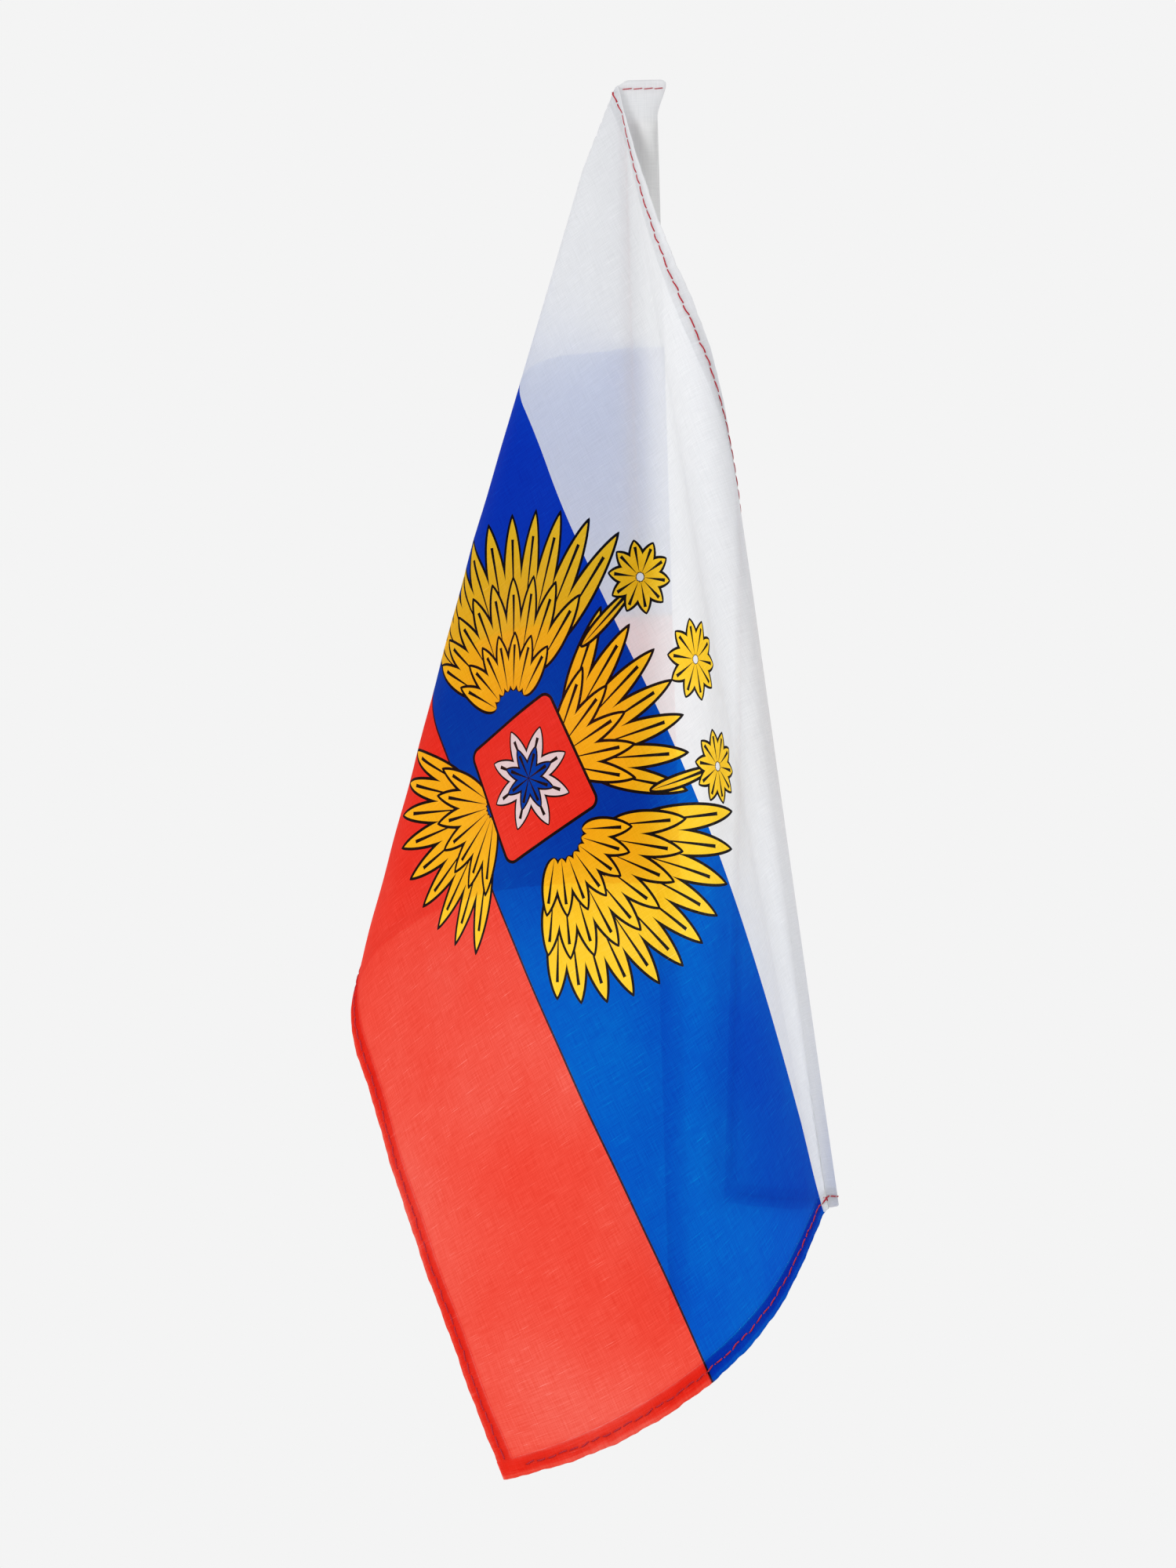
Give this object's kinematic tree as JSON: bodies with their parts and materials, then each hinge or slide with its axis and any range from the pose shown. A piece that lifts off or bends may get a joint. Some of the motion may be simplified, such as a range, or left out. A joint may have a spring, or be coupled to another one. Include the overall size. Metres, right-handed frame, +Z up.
{
  "type": "hand flag",
  "caption": "Small hemmed cloth hand flag hanging limp on its stick, its hoist edge sewn into a closed-top sleeve.",
  "frame": {"origin": "centre of the stick's lower end face", "axes": "+Z up along the stick; -Y faces the side that the flag is seen from; +X to the right of that view"},
  "size_m": [0.1233, 0.152, 0.3482],
  "materials": {
    "cloth": "thin plain-woven polyester, printed",
    "hem_cloth": "the same cloth folded double and pressed",
    "thread": "red sewing thread",
    "stick_plastic": "satin"
  },
  "bodies": {
    "stick": {"stick": "stick_plastic"},
    "sleeve": {"sleeve": "cloth", "sleeve_seam_thread": "thread", "sleeve_top_thread": "thread"},
    "hoist": {"hoist_panel": "cloth", "hoist_bottom_hem": "hem_cloth", "hoist_bottom_thread": "thread"},
    "front": {"front_panel": "cloth", "front_top_hem": "hem_cloth", "front_bottom_hem": "hem_cloth", "front_fly_hem": "hem_cloth", "front_top_thread": "thread", "front_bottom_thread": "thread", "front_fly_thread": "thread"},
    "corner": {"corner_panel": "cloth", "corner_top_hem": "hem_cloth", "corner_fly_hem": "hem_cloth", "corner_top_thread": "thread", "corner_fly_thread": "thread"}
  },
  "joints": [
    {"name": "flag_turn", "type": "hinge", "parent": "stick", "child": "sleeve", "pos_m": [0, 0, 0.11], "axis": [0, 0, 1], "continuous": true},
    {"name": "hoist_swing", "type": "hinge", "parent": "sleeve", "child": "hoist", "pos_m": [-0.00672, -0.00176, 0.31], "axis": [0, 0, 1], "range_deg": [-15, 20]},
    {"name": "front_fold", "type": "hinge", "parent": "hoist", "child": "front", "pos_m": [-0.00672, -0.00176, 0.31], "axis": [-0.2679, 0.3598, -0.8937], "range_deg": [0, 35]},
    {"name": "fly_fold", "type": "hinge", "parent": "front", "child": "corner", "pos_m": [0.01489, -0.02281, 0.2397], "axis": [0.1126, -0.1839, -0.9765], "range_deg": [0, 45]}
  ]
}
